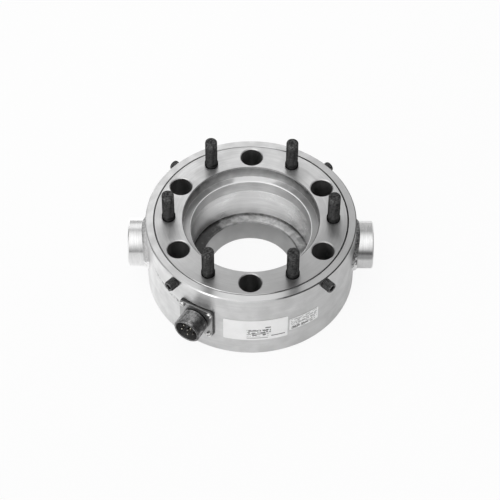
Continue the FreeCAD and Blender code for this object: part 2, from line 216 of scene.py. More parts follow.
def startGroup(name, inputs, outputs):
    tree = bpy.data.node_groups.new(name, "ShaderNodeTree")
    for label, value in inputs.items():
        kind = "NodeSocketVector" if value is None else "NodeSocketFloat"
        socket = tree.interface.new_socket(name=label, in_out="INPUT", socket_type=kind)
        if value is not None:
            socket.default_value = value
    for label in outputs:
        tree.interface.new_socket(name=label, in_out="OUTPUT", socket_type="NodeSocketFloat")
    sockets = tree.nodes.new("NodeGroupInput").outputs
    given = {label: Signal(tree, sockets[label]) for label in inputs}
    return tree, given, tree.nodes.new("NodeGroupOutput").inputs


def placeGroup(group, **values):
    tree = treeOf(values.values())
    node = tree.nodes.new("ShaderNodeGroup")
    node.node_tree = group
    for label, value in values.items():
        feed(value, node.inputs[label])
    return [Signal(tree, output) for output in node.outputs]


# Effects that several finishes share

# Tool marks of a lathe: long broken arcs round the turning axis, which is Z of Place.
def makeTurningMarks():
    inputs = {"Place": None, "Facing": None, "Spacing": 0.0004, "Arcs": 5.0}
    tree, given, result = startGroup("turningMarks", inputs, ["Marks", "Bands"])
    x, y, z = split(given["Place"])
    onFace = abs(split(given["Facing"])[2]) > 0.6
    row = (flatLength(x, y) * onFace + z * (1.0 - onFace)) / given["Spacing"]
    aroundX, aroundY = split(vectorCalc("NORMALIZE", join(x, y, 0.0)))[:2]
    fine = join(aroundX * given["Arcs"], aroundY * given["Arcs"], row)
    middle = join(aroundX * 2.0, aroundY * 2.0, row * 0.3)
    broad = join(aroundX, aroundY, row * 0.11)
    feed(noiseField(fine, 1.0, 3.0, 0.6), result["Marks"])
    bands = noiseField(middle, 1.0, 3.0, 0.7) * 0.6 + noiseField(broad, 1.0, 2.0, 0.5) * 0.4
    feed(bands, result["Bands"])
    return tree


# Slow patches of tone, from handling and from the metal itself.
def makeSurfacePatches():
    inputs = {"Place": None, "Size": 0.03, "Contrast": 2.0}
    tree, given, result = startGroup("surfacePatches", inputs, ["Patches"])
    level = noiseField(given["Place"], 1.0 / given["Size"], 4.0, 0.5)
    spread = (level - 0.5) * given["Contrast"] + 0.5
    feed(remap(spread, 0.0, 1.0), result["Patches"])
    return tree


# Fine even grain, such as blasted, moulded or plated surfaces have.
def makeFineGrain():
    tree, given, result = startGroup("fineGrain", {"Place": None, "Size": 0.0005}, ["Grain"])
    feed(noiseField(given["Place"], 1.0 / given["Size"], 2.0, 0.7), result["Grain"])
    return tree


# Edges where the finish has worn: wider where the grain lets the wear in.
def makeEdgeWear():
    inputs = {"Place": None, "Reach": 0.0005, "Breakup": 0.004, "Amount": 1.0}
    tree, given, result = startGroup("edgeWear", inputs, ["Worn"])
    rounded = makeNode(tree, "ShaderNodeBevel", {"Radius": given["Reach"]}, samples=6)
    plain = makeNode(tree, "ShaderNodeNewGeometry", {}, "Normal")
    turn = 1.0 - vectorCalc("DOT_PRODUCT", rounded, plain)
    grain = noiseField(given["Place"], 1.0 / given["Breakup"], 3.0, 0.6)
    feed(remap(turn * given["Amount"] * grain, 0.015, 0.09), result["Worn"])
    return tree


# Thin bright scratches in two directions.
def makeScratches():
    inputs = {"Place": None, "Spacing": 0.006, "Share": 0.5}
    tree, given, result = startGroup("scratches", inputs, ["Scratches"])
    scale = 1.0 / given["Spacing"]
    lines = []
    for direction in ((0.9, 0.3, 0.2), (-0.2, 0.5, 0.8)):
        stretched = vectorCalc("MULTIPLY", rotated(given["Place"], direction), (0.12, 1.0, 1.0))
        ridge = abs(noiseField(stretched, scale, 2.0, 0.5) - 0.5)
        lines.append(remap(ridge, 0.0, 0.006, 1.0, 0.0))
    gate = remap(noiseField(given["Place"], scale, 1.0), given["Share"], 0.8)
    feed(calc("MAXIMUM", *lines) * gate, result["Scratches"])
    return tree


turningMarks = makeTurningMarks()
surfacePatches = makeSurfacePatches()
fineGrain = makeFineGrain()
edgeWear = makeEdgeWear()
scratches = makeScratches()
print("shared effects built")


def patchField(place, size, contrast):
    return placeGroup(surfacePatches, Place=place, Size=size, Contrast=contrast)[0]


def grainField(place, size):
    return placeGroup(fineGrain, Place=place, Size=size)[0]


def wearField(place, reach, breakup, amount):
    return placeGroup(edgeWear, Place=place, Reach=reach, Breakup=breakup, Amount=amount)[0]


# The crest value of a mesh tells where its threads and knurls are rubbed; near the stud tips and on the ends
# of the screw heads it also carries a painted highlight
def crestField(tree):
    return makeNode(tree, "ShaderNodeAttribute", {}, "Fac", attribute_name="crest")


# A material with its shader's sockets, and the place and facing of each point on the surface
def startMaterial(name, metallic, roughness, **settings):
    material = bpy.data.materials.new(name)
    material.use_nodes = True
    tree = material.node_tree
    shader = tree.nodes["Principled BSDF"].inputs
    feed(metallic, shader["Metallic"])
    feed(roughness, shader["Roughness"])
    for label, value in settings.items():
        feed(value, shader[label.replace("_", " ")])
    place = makeNode(tree, "ShaderNodeTexCoord", {}, "Object")
    facing = makeNode(tree, "ShaderNodeNewGeometry", {}, "Normal")
    return material, shader, place, facing


def feedShader(shader, color, roughness, height, strength, depth):
    bump = {"Strength": strength, "Distance": depth, "Height": height}
    feed(color, shader["Base Color"])
    feed(roughness, shader["Roughness"])
    feed(makeNode(height.tree, "ShaderNodeBump", bump), shader["Normal"])


def grainRoughness(grain, low, high):
    return remap(grain, 0.3, 0.7, low, high)


# What the turned steels share. Each part adds its own values.
steelLook = {
    "sheen": 0.06, "anisotropy": 0.3, "tangent": "Z", "relief": 0.3, "spacing": 0.45 * mm, "arcs": 4.0,
    "bandShare": 0.6, "markShare": 0.4, "toneSpan": (0.36, 0.64), "patchContrast": 2.2,
    "wearReach": 0.6 * mm, "wearBreakup": 3 * mm, "wearShare": 0.7, "paleSpan": (0.86, 1.0),
    "scratchSpacing": 9 * mm, "scratchLevel": 0.5, "grainSize": 0.6 * mm, "grainShare": 0.35,
    "reliefDepth": 0.04 * mm,
}


# Turned and brushed steel. Very light places, among them the painted highlights, and worn places scatter
# light: they are less metallic.
def turnedSteel(name, look, origin=Vector((0, 0, 0)), axis=upwards, extra=None):
    material, shader, place, facing = startMaterial(
        name, 1.0, look["roughness"], Anisotropic=look["anisotropy"], Anisotropic_Rotation=0.25)
    tangent = makeNode(place.tree, "ShaderNodeTangent", {}, direction_type="RADIAL", axis=look["tangent"])
    feed(tangent, shader["Tangent"])
    spin = axis.rotation_difference(upwards).to_euler()
    turnPlace = rotated(vectorCalc("SUBTRACT", place, origin), spin)
    marks, bands = placeGroup(turningMarks, Place=turnPlace, Facing=rotated(facing, spin),
                              Spacing=look["spacing"], Arcs=look["arcs"])
    patches = patchField(place, look["patchSize"], look["patchContrast"])
    worn = wearField(place, look["wearReach"], look["wearBreakup"], look["wear"])
    grain = grainField(place, look["grainSize"])
    rubbed = placeGroup(
        scratches, Place=place, Spacing=look["scratchSpacing"], Share=look["scratchShare"])[0]
    tone = bands * look["bandShare"] + marks * look["markShare"]
    color = blend(remap(tone, *look["toneSpan"]), look["dark"], look["light"])
    color = blend(rubbed * look["scratchLevel"], color, look["edge"])
    color = blend(patches * look["patchDepth"], color, look["patch"])
    if extra:
        color = extra(place, facing, color)
    color = blend(worn * look["wearShare"], color, look["edge"])
    lit = calc("MAXIMUM", worn, remap(color, *look["paleSpan"]))
    feed(remap(lit, 0.0, 1.0, 1.0, look["edgeMetal"]), shader["Metallic"])
    low, high = look["roughness"] - look["sheen"], look["roughness"] + look["sheen"]
    roughness = remap(marks * 0.5 + patches * 0.5, 0.25, 0.75, low, high)
    height = marks + grain * look["grainShare"]
    feedShader(shader, color, roughness, height, look["relief"], look["reliefDepth"])
    return material


# Painted shade darkens one side, broken up by patches: the lean gives the weights of +X and -Y
sideShading = {"patchSize": 20 * mm, "contrast": 2.0, "stir": 30 * mm, "span": (-20 * mm, 80 * mm)}


def sideShaded(place, color, look):
    x, y, z = split(place)
    toward = x * look["sideShadeLean"][0] - y * look["sideShadeLean"][1]
    uneven = stirred(toward, patchField(place, sideShading["patchSize"], sideShading["contrast"]), sideShading["stir"])
    return blend(remap(uneven, *sideShading["span"], 0.0, look["sideShadeShare"]), color, look["sideShade"])


edgeLook = {
    "seamRadius": 87.35 * mm, "seamReach": 1.0 * mm, "outerReach": 1.15 * mm, "depth": 1.3 * mm,
    "tilt": (0.2, 0.96), "noiseScale": 90.0, "stir": 0.25, "dark": 0.05, "plain": 0.60, "glint": 1.0,
    "darkShare": 0.9, "darkRight": (0.16, 0.34), "darkLeft": (-0.50, -0.66), "leftLevels": (0.45, 0.12),
    "glintFrom": (-0.50, -0.43), "glintTo": (-0.35, -0.27),
}


# The two bevelled edges of the top: painted dark reflections at the sides, a painted glint at the front left,
# and a plain tone in front and behind
def shadeTopEdges(place, facing, color):
    look = edgeLook
    x, y, z = split(place)
    radius = flatLength(x, y)
    seam = abs(radius - look["seamRadius"]) < look["seamReach"]
    outer = radius > bodyRadius - look["outerReach"]
    tilted = between(split(facing)[2], *look["tilt"])
    zone = calc("MAXIMUM", seam, outer) * tilted * (z > topZ - look["depth"])
    sideways = x / radius
    wavy = stirred(sideways, noiseField(place, look["noiseScale"]), look["stir"])
    leftMost = remap(outer, 0.0, 1.0, *look["leftLevels"])
    onLeft = leftMost * remap(wavy, *look["darkLeft"])
    dark = calc("MAXIMUM", remap(wavy, *look["darkRight"]), onLeft)
    glint = remap(sideways, *look["glintFrom"]) * remap(sideways, *look["glintTo"], 1.0, 0.0)
    tone = blend(dark * look["darkShare"], look["plain"], look["dark"])
    tone = blend(glint * (y < 0.0), tone, look["glint"])
    return blend(zone, color, tone)


elementLook = {
    **steelLook, "dark": 0.58, "light": 0.75, "patch": 0.52, "edge": 0.95, "edgeMetal": 0.15,
    "roughness": 0.40, "relief": 0.35,
    "patchSize": 16 * mm, "patchDepth": 0.45, "wear": 0.8, "scratchShare": 0.6,
    "sideShade": 0.40, "sideShadeShare": 0.65, "sideShadeLean": (0.2, 1.0),
    # Tones of painted shade and painted light in the recess, holes and throat, and of the ledge, whose dark
    # patches are partly stains
    "recessWallShade": 0.065, "rimEdgeShade": 0.20, "recessFloor": 1.0, "stepSideShade": 0.42, "lip": 1.0,
    "holeWallShade": 0.36, "throat": 0.40, "ledge": 0.11,
}
bores = {
    "recessRadius": mounts["pilot_recess"]["dims"]["r_mm"] * mm,
    "recessFloor": topZ - 12.3 * mm, "holeSpan": (63.4 * mm, 84.6 * mm),
    "throatRadius": 45.4 * mm, "throatTop": 17.5 * mm, "sleeveRadius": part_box("inner_sleeve")[1].y,
    "rimWidth": 1.1 * mm, "rimDepth": 1.3 * mm, "sideSpan": (0.15, 0.85), "sideLevels": (0.58, 0.98),
    "wallTilt": 0.6, "wallLevels": (0.55, 0.97), "wallShadePatchLevels": (0.82, 1.04),
    "stainAndShadePatches": (12 * mm, 1.7), "wallShadePatches": (7 * mm, 3.0), "blots": (5 * mm, 4.0),
}


# The recess: painted shade on its wall, deepest at the sides and towards the top, and on its rim; at its
# floor a step painted light in front and behind and shaded at the sides, and a painted highlight on the lip
def shadeRecess(place, facing, color):
    look = elementLook
    x, y, z = split(place)
    radius = flatLength(x, y)
    flatness = abs(split(facing)[2])
    limit = bores["recessRadius"]
    floor = bores["recessFloor"]
    sleeve = bores["sleeveRadius"]
    nearSide, farSide = [share * limit for share in bores["sideSpan"]]
    onWall = (flatness < bores["wallTilt"]) * between(radius, limit - mm, limit + 0.5 * mm)
    wallShadePatches = remap(patchField(place, *bores["wallShadePatches"]), 0.0, 1.0, *bores["wallShadePatchLevels"])
    sideways = remap(abs(x), nearSide, farSide, *bores["sideLevels"]) * wallShadePatches
    recess = onWall * remap(z, floor, topZ, *bores["wallLevels"]) * sideways
    color = blend(recess, color, look["recessWallShade"])
    rim = between(radius, limit, limit + bores["rimWidth"]) * between(flatness, 0.2, 0.96)
    color = blend(rim * (z > topZ - bores["rimDepth"]) * 0.9, color, look["rimEdgeShade"])
    atFloor = between(z, floor - mm, floor + 0.1 * mm)
    step = atFloor * between(radius, sleeve - 2 * mm, limit + mm)
    offside = stirred(abs(x), patchField(place, *bores["stainAndShadePatches"]), 0.3 * limit)
    stepTone = blend(remap(offside, nearSide, farSide), look["recessFloor"], look["stepSideShade"])
    color = blend(step, color, stepTone)
    lip = atFloor * between(radius, sleeve - 1.8 * mm, sleeve - 0.9 * mm) * between(flatness, 0.1, 0.97)
    return blend(lip, color, look["lip"])


# Painted shade on the walls of the six large holes and of the throat, and on the edge of its mouth
def shadeHoles(place, facing, color):
    look = elementLook
    x, y, z = split(place)
    radius = flatLength(x, y)
    flatness = abs(split(facing)[2])
    wall = flatness < bores["wallTilt"]
    stainAndShadePatches = patchField(place, *bores["stainAndShadePatches"])
    holes = wall * between(radius, *bores["holeSpan"]) * remap(stainAndShadePatches, 0.2, 0.8, 0.65, 0.95)
    color = blend(holes, color, look["holeWallShade"])
    throat = wall * (radius < bores["throatRadius"]) * remap(stainAndShadePatches, 0.2, 0.8, 1.0, 0.9)
    color = blend(throat, color, look["throat"])
    mouthEdge = (radius < bores["throatRadius"] + mm) * between(flatness, 0.5, 0.97)
    return blend(mouthEdge * 0.8, color, look["rimEdgeShade"])


# Dark patches on the low ledge: partly stains, partly painted shade, heaviest on the left and lighter on the
# right
def shadeLedge(place, color):
    x, y, z = split(place)
    stainAndShadePatches = patchField(place, *bores["stainAndShadePatches"])
    blots = patchField(place, *bores["blots"])
    low, high = bores["throatTop"] - 1.2 * mm, bores["throatTop"] + mm
    ledge = (flatLength(x, y) < bores["sleeveRadius"]) * between(z, low, high)
    onLeft = remap(x, -45 * mm, -5 * mm, 1.25, 0.15)
    onRight = remap(x, 10 * mm, 50 * mm, 0.1, 0.5)
    stainedAndShaded = stirred(stirred(calc("MAXIMUM", onLeft, onRight), stainAndShadePatches, 0.5), blots, 0.4)
    stainedAndShaded = calc("MINIMUM", calc("MAXIMUM", stainedAndShaded, 0.0), 1.0)
    return blend(ledge * stainedAndShaded, color, elementLook["ledge"])


def shadeElement(place, facing, color):
    color = sideShaded(place, color, elementLook)
    color = shadeRecess(place, facing, color)
    color = shadeHoles(place, facing, color)
    color = shadeLedge(place, color)
    return shadeTopEdges(place, facing, color)


housingLook = {
    **steelLook, "dark": 0.64, "light": 0.74, "patch": 0.56, "edge": 0.92, "edgeMetal": 0.8,
    "roughness": 0.38, "spacing": 0.5 * mm, "arcs": 3.0,
    "patchSize": 13 * mm, "patchDepth": 0.6, "wear": 1.0, "scratchShare": 0.54,
    "sideShade": 0.40, "sideShadeShare": 0.3, "sideShadeLean": (0.9, 0.15),
    "rim": 0.84, "rimShare": 0.9, "rimFromDeg": (-128.0, -112.0), "rimToDeg": (-80.0, -62.0),
    "sideLine": 0.13, "sideLineShare": 0.8, "sideLineStartDeg": -154.0, "sideLineEndDeg": -131.5, "sideLineZ": 53.5 * mm,
    "sideLineFall": 9 * mm, "sideLineWidth": 2.6 * mm,
}


# A dark broken line on the side, left of the connector, and a painted highlight on the top of the rim at the
# front
def shadeHousing(place, facing, color):
    look = housingLook
    x, y, z = split(place)
    color = sideShaded(place, color, look)
    turn = calc("ARCTAN2", y, x) * (180.0 / math.pi)
    front = remap(turn, *look["rimFromDeg"]) * remap(turn, *look["rimToDeg"], 1.0, 0.0)
    onTop = split(facing)[2] > 0.96
    color = blend(onTop * front * look["rimShare"], color, look["rim"])
    share = (turn - look["sideLineStartDeg"]) / (look["sideLineEndDeg"] - look["sideLineStartDeg"])
    away = abs(z - (look["sideLineZ"] - share * look["sideLineFall"]))
    line = remap(away, look["sideLineWidth"] * 0.2, look["sideLineWidth"], 1.0, 0.0)
    broken = remap(noiseField(place, 420.0, 2.0), 0.42, 0.62)
    line = line * between(share, 0.0, 1.0) * broken
    color = blend(line * look["sideLineShare"], color, look["sideLine"])
    return shadeTopEdges(place, facing, color)


sleeveLook = {
    **steelLook, "dark": 0.70, "light": 0.85, "patch": 0.60, "edge": 0.95, "edgeMetal": 0.25,
    "roughness": 0.30, "sheen": 0.05, "anisotropy": 0.4, "spacing": 0.4 * mm,
    "patchSize": 30 * mm, "patchDepth": 0.3, "wear": 2.6, "scratchShare": 0.65,
}
bossLook = {
    **steelLook, "dark": 0.62, "light": 0.76, "patch": 0.60, "edge": 0.9, "edgeMetal": 1.0,
    "roughness": 0.24, "sheen": 0.04, "anisotropy": 0.35, "tangent": "X", "relief": 0.45, "arcs": 2.0,
    "patchSize": 20 * mm, "patchDepth": 0.25, "wear": 1.2, "scratchShare": 0.65,
    "paintedBand": 0.2, "paintedBandShare": 0.75, "paintedBandFrom": (0.12, 0.28), "paintedBandTo": (0.48, 0.64),
    "stir": 0.12, "noiseScale": 60.0,
}


# A painted dark reflection band along the front of the right boss, where its surface faces partly up
def shadeBoss(place, facing, color):
    look = bossLook
    x, y, z = split(place)
    uneven = stirred(split(facing)[2], noiseField(place, look["noiseScale"]), look["stir"])
    band = remap(uneven, *look["paintedBandFrom"]) * remap(uneven, *look["paintedBandTo"], 1.0, 0.0)
    band = band * (y < 0.0) * (x > 0.0)
    return blend(band * look["paintedBandShare"], color, look["paintedBand"])


weldLook = {
    "dark": 0.015, "light": 0.20, "tint": 0.34, "paleWeld": 0.9, "worn": 0.45,
    "paleBelow": 37 * mm, "darkAbove": 48 * mm, "stir": 12 * mm, "paleMost": 0.95, "leftPale": 0.45,
    "roughness": (0.38, 0.66),
}


# Weld beads: dark above, partly heat tint and partly painted shade; paler below, a painted reflection of the
# bright floor they face; and paler on the left
def makeWeldSteel():
    look = weldLook
    material, shader, place, facing = startMaterial("weldSteel", 0.85, 0.5)
    x, y, z = split(place)
    grain = grainField(place, 0.9 * mm)
    patches = patchField(place, 4.5 * mm, 4.0)
    specks = patchField(place, 1.8 * mm, 4.0)
    worn = wearField(place, 0.6 * mm, 1.5 * mm, 2.0)
    color = blend(remap(grain, 0.35, 0.68), look["dark"], look["light"])
    color = blend(specks * 0.7, color, look["tint"])
    uneven = stirred(z, patches, look["stir"])
    paleWeld = remap(uneven, look["paleBelow"], look["darkAbove"], look["paleMost"], 0.0)
    paleWeld = calc("MAXIMUM", paleWeld, (x < 0.0) * look["leftPale"])
    color = blend(paleWeld, color, look["paleWeld"])
    color = blend(worn, color, look["worn"])
    feedShader(shader, color, grainRoughness(grain, *look["roughness"]), grain, 0.6, 0.3 * mm)
    return material


blackLook = {
    "dark": 0.013, "light": 0.036, "worn": 0.26, "crest": 0.28, "edgeTint": 0.12, "roughness": (0.34, 0.50),
}


def makeBlackOxide():
    look = blackLook
    material, shader, place, facing = startMaterial(
        "blackOxide", 1.0, 0.42, Specular_Tint=look["edgeTint"])
    grain = grainField(place, 0.7 * mm)
    patches = patchField(place, 5 * mm, 2.2)
    rubbed = patchField(place, 1.7 * mm, 3.2)
    worn = wearField(place, 0.35 * mm, 2 * mm, 1.2)
    color = blend(patches, look["dark"], look["light"])
    shine = crestField(place.tree) ** 1.6 * (rubbed + 0.1)
    color = blend(calc("MINIMUM", shine, 1.0), color, look["crest"])
    color = blend(worn * 0.5, color, look["worn"])
    feedShader(shader, color, grainRoughness(grain, *look["roughness"]), grain, 0.3, 0.08 * mm)
    return material


alloyLook = {
    "dark": 0.06, "light": 0.20, "worn": 0.62, "barrelShade": 0.018, "rim": 0.07, "face": 0.46, "crest": 0.46,
    "root": 0.012, "inside": 0.34, "insideRadius": 11.0 * mm, "rootLength": 1.2 * mm, "faceReach": 0.1 * mm,
    "faceShare": 0.85, "barrelShadeFrom": (2.5 * mm, 7 * mm), "barrelShadeTo": (12 * mm, 14 * mm), "barrelShadeStir": 5 * mm,
    "barrelShadeShare": 0.75, "roughness": (0.30, 0.48),
}


# Dull plated alloy: rubbed on the crests, painted shade on one side of the barrel, darker on the rim of the
# flange
def makeConnectorAlloy():
    look = alloyLook
    material, shader, place, facing = startMaterial("connectorAlloy", 0.95, 0.38)
    grain = grainField(place, 0.8 * mm)
    patches = patchField(place, 6 * mm, 2.6)
    specks = patchField(place, 2.2 * mm, 5.0)
    worn = wearField(place, 0.4 * mm, 1.2 * mm, 2.4)
    along = vectorCalc("DOT_PRODUCT", place, connectorAxis)
    across = vectorCalc("DOT_PRODUCT", place, connectorSide)
    onward = abs(vectorCalc("DOT_PRODUCT", facing, connectorAxis))
    faceEnd = plateFront + look["faceReach"]
    rootEnd = plateFront + look["rootLength"]
    onPlate = along < faceEnd
    color = blend(patches, look["dark"], look["light"])
    color = blend(onPlate * look["faceShare"], color, look["face"])
    color = blend(crestField(place.tree) * specks, color, look["crest"])
    uneven = stirred(across, patches, look["barrelShadeStir"])
    barrelShaded = remap(uneven, *look["barrelShadeFrom"]) * remap(uneven, *look["barrelShadeTo"], 1.0, 0.0)
    barrelShaded = barrelShaded * (along > rootEnd) * (onward < 0.8)
    color = blend(barrelShaded * look["barrelShadeShare"], color, look["barrelShade"])
    color = blend(worn * remap(barrelShaded, 0.0, 1.0, 0.8, 0.15), color, look["worn"])
    # A painted light lifts the shaded inside of the bore
    rise = split(place)[2] - connectorZ
    inside = flatLength(across, rise) < look["insideRadius"]
    color = blend(inside, color, look["inside"])
    # Painted shade in the undercut where the barrel meets the flange
    color = blend(between(along, faceEnd, rootEnd) * (onward < 0.5), color, look["root"])
    rim = onPlate * (onward < 0.5)
    color = blend(rim * look["faceShare"], color, look["rim"])
    feedShader(shader, color, grainRoughness(grain, *look["roughness"]), grain, 0.35, 0.08 * mm)
    return material


# Moulded, rubbery and filmy finishes that differ only in their values
softLooks = {
    "insertResin": {"dark": 0.035, "light": 0.09, "rough": (0.45, 0.65), "grain": 0.6 * mm, "relief": 0.3},
    "gasketRubber": {"dark": 0.015, "light": 0.04, "rough": (0.6, 0.8), "grain": 0.5 * mm, "relief": 0.5},
    "sealRubber": {"dark": 0.012, "light": 0.03, "rough": (0.5, 0.7), "grain": 0.5 * mm, "relief": 0.4},
    "gaugeFilm": {"dark": (0.42, 0.22, 0.04, 1), "light": (0.62, 0.36, 0.08, 1), "rough": (0.25, 0.4),
                  "grain": 0.4 * mm, "relief": 0.1},
    "leadJacket": {"dark": 0.04, "light": 0.09, "rough": (0.45, 0.6), "grain": 0.8 * mm, "relief": 0.3},
}


def mouldedFinish(name):
    look = softLooks[name]
    material, shader, place, facing = startMaterial(name, 0.0, look["rough"][0])
    grain = grainField(place, look["grain"])
    color = blend(patchField(place, 8 * mm, 2.0), look["dark"], look["light"])
    feedShader(shader, color, grainRoughness(grain, *look["rough"]), grain, look["relief"], 0.06 * mm)
    return material


# Bright plated metals: contact pins and the connector's screws
platedLooks = {
    "contactMetal": {"dark": (0.08, 0.075, 0.065, 1), "light": (0.66, 0.63, 0.56, 1), "rough": (0.2, 0.34),
                     "patch": 3.5 * mm},
    "brightScrew": {"dark": (0.52, 0.52, 0.52, 1), "light": (0.86, 0.86, 0.85, 1), "rough": (0.16, 0.32),
                    "patch": 2 * mm},
}


def platedFinish(name):
    look = platedLooks[name]
    material, shader, place, facing = startMaterial(name, 1.0, look["rough"][0])
    grain = grainField(place, 0.5 * mm)
    worn = wearField(place, 0.3 * mm, 1 * mm, 0.8)
    color = blend(patchField(place, look["patch"], 3.5), look["dark"], look["light"])
    color = blend(worn * 0.3, color, 0.92)
    feedShader(shader, color, grainRoughness(grain, *look["rough"]), grain, 0.25, 0.05 * mm)
    return material


# Label film. The print is a few plain fields and bars, placed by arc length and height.
labelPrint = {
    "film": 0.98, "shade": 0.88, "shadeShare": 0.6, "ink": 0.05, "paleInk": 0.45,
    "barPitch": 3.1 * mm, "barShare": 0.45, "dashPitch": 2.1 * mm, "dashLevel": 0.46,
}


def boxMask(across, up, left, right, low, high):
    return between(across, left, right) * (up > low) * (up < high)


# Rows of short bars of uneven length
def barRows(across, up, seed):
    rowPlace = up / labelPrint["barPitch"] + seed * 0.37
    inRow = calc("FRACT", rowPlace) < labelPrint["barShare"]
    dash = join(across / labelPrint["dashPitch"], calc("FLOOR", rowPlace) * 7.3, seed)
    broken = noiseField(dash, 1.0, 0.0) > labelPrint["dashLevel"]
    return inRow * broken


def makeLabelFilm(name, middle, fields):
    material, shader, place, facing = startMaterial(name, 0.0, 0.35, Coat_Weight=0.25)
    x, y, z = split(place)
    across = (calc("ARCTAN2", y, x) - compassOf(middle)) * bodyRadius
    up = z - middle.z
    patches = patchField(place, 12 * mm, 2.0)
    grain = grainField(place, 0.6 * mm)
    color = blend(patches * labelPrint["shadeShare"], labelPrint["film"], labelPrint["shade"])
    for index, (ink, solid, edges) in enumerate(fields):
        mask = boxMask(across, up, *[edge * mm for edge in edges])
        color = blend(mask if solid else barRows(across, up, float(index)) * mask, color, labelPrint[ink])
    feedShader(shader, color, remap(patches, 0.2, 0.8, 0.28, 0.45), patches * 2.0 + grain, 0.25, 0.1 * mm)
    return material


bossMiddle = Vector((0, 0, middleZ("side_boss_right")))
materials = {
    "elementSteel": turnedSteel("elementSteel", elementLook, extra=shadeElement),
    "housingSteel": turnedSteel("housingSteel", housingLook, extra=shadeHousing),
    "sleeveSteel": turnedSteel("sleeveSteel", sleeveLook),
    "bossSteel": turnedSteel("bossSteel", bossLook, bossMiddle, Vector((1, 0, 0)), shadeBoss),
    "weldSteel": makeWeldSteel(),
    "blackOxide": makeBlackOxide(),
    "connectorAlloy": makeConnectorAlloy(),
}
for finishName in softLooks:
    materials[finishName] = mouldedFinish(finishName)
for finishName in platedLooks:
    materials[finishName] = platedFinish(finishName)
print("finishes built")


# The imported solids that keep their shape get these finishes
solidFinishes = {
    "sensing_element": "elementSteel", "outer_housing": "housingSteel", "inner_sleeve": "sleeveSteel",
    "side_boss": "bossSteel", "boss_weld": "weldSteel", "mounting_stud": "blackOxide",
    "housing_screw": "blackOxide", "connector_shell": "connectorAlloy", "connector_gasket": "gasketRubber",
    "connector_insert": "insertResin", "contact_pin": "contactMetal", "connector_screw": "brightScrew",
    "upper_seal_ring": "sealRubber", "lower_seal_ring": "sealRubber", "strain_gauge": "gaugeFilm",
    "gauge_circuit": "gaugeFilm", "lead_grommet": "sealRubber", "lead_bundle": "leadJacket",
}


def finishSolids():
    for name, solid in frame["nodes"].items():
        for start, finish in solidFinishes.items():
            if name.startswith(start):
                solid.data.materials.clear()
                solid.data.materials.append(materials[finish])


finishSolids()
print("solids finished")


# Mesh helpers

def meshPiece(name, points, faces, material, sharpDeg=40.0, crests=None):
    mesh = bpy.data.meshes.new(name)
    mesh.from_pydata([tuple(point) for point in points], [], faces)
    mesh.validate()
    mesh.shade_smooth()
    mesh.set_sharp_from_angle(angle=math.radians(sharpDeg))
    mesh.materials.append(material)
    if crests:
        mesh.attributes.new("crest", "FLOAT", "POINT").data.foreach_set("value", crests)
    piece = bpy.data.objects.new(name, mesh)
    scene.collection.objects.link(piece)
    return piece


# Quads between two closed rings, given by their first points
def bandFaces(low, high, columns):
    steps = [(column, (column + 1) % columns) for column in range(columns)]
    return [(low + here, low + after, high + after, high + here) for here, after in steps]


def loftFaces(ringCount, columns):
    faces = []
    for row in range(ringCount - 1):
        faces += bandFaces(row * columns, (row + 1) * columns, columns)
    return faces


# Rings joined in order, closed on a middle point at each end
def loftedSolid(rings, startPoint, endPoint):
    columns = len(rings[0])
    points = [point for ring in rings for point in ring] + [startPoint, endPoint]
    faces = loftFaces(len(rings), columns)
    last = (len(rings) - 1) * columns
    for column in range(columns):
        nextColumn = (column + 1) % columns
        faces.append((len(points) - 2, nextColumn, column))
        faces.append((len(points) - 1, last + column, last + nextColumn))
    return points, faces


# A ring of points whose radius is a number or a function of the angle
def ringPoints(columns, height, radiusAt):
    points = []
    for column in range(columns):
        angle = 2 * math.pi * column / columns
        radius = radiusAt(angle) if callable(radiusAt) else radiusAt
        points.append(polar(radius, angle, height))
    return points


def ringStack(columns, profile):
    return [ringPoints(columns, height, radius) for height, radius in profile]


# The radius round a helical thread at one height: flat on its crest and its root, and within a limit
def threadRadius(shape, height, outer, fade, limit):
    def radiusAt(angle):
        turn = (height / shape["pitch"] - angle / (2 * math.pi)) % 1.0
        slope = 1.0 - abs(2.0 * turn - 1.0)
        cut = min(1.0, max(0.0, slope * 1.25 - 0.1))
        return min(limit, outer - cut * shape["threadDepth"] * fade)
    return radiusAt


# How near points lie to the outside of a turned form: 1 at the outer radius, 0 at a depth below it
def crestValues(points, outer, depth):
    return [min(1.0, max(0.0, (math.hypot(point.x, point.y) - outer) / depth + 1.0)) for point in points]


# Turns a piece from +Z to an axis that lies flat, its own +Y upwards
def layAlong(piece, height, axis):
    side = upwards.cross(axis).normalized()
    turn = Matrix((side, axis.cross(side), axis)).transposed().to_4x4()
    piece.data.transform(Matrix.Translation(Vector((0, 0, height))) @ turn)


def keepPiece(piece, node):
    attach(piece, "root")
    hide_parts(node)


# Studs, with their rolled threads
studShape = {
    "pitch": 1.27 * mm, "threadDepth": 0.78 * mm, "rowsPerTurn": 8, "columns": 36, "runOut": 0.9 * mm,
    "tipBevel": 1.4 * mm, "markRadius": 1.3 * mm, "markDepth": 1.1 * mm, "collarTaper": 0.9 * mm,
    "collarRound": 0.25 * mm, "footRadius": 4.75 * mm, "turnDeg": 47.0,
    "shineReach": 7.0 * mm, "shineFall": 0.6, "collarShine": 0.25, "tipShine": 0.45,
}


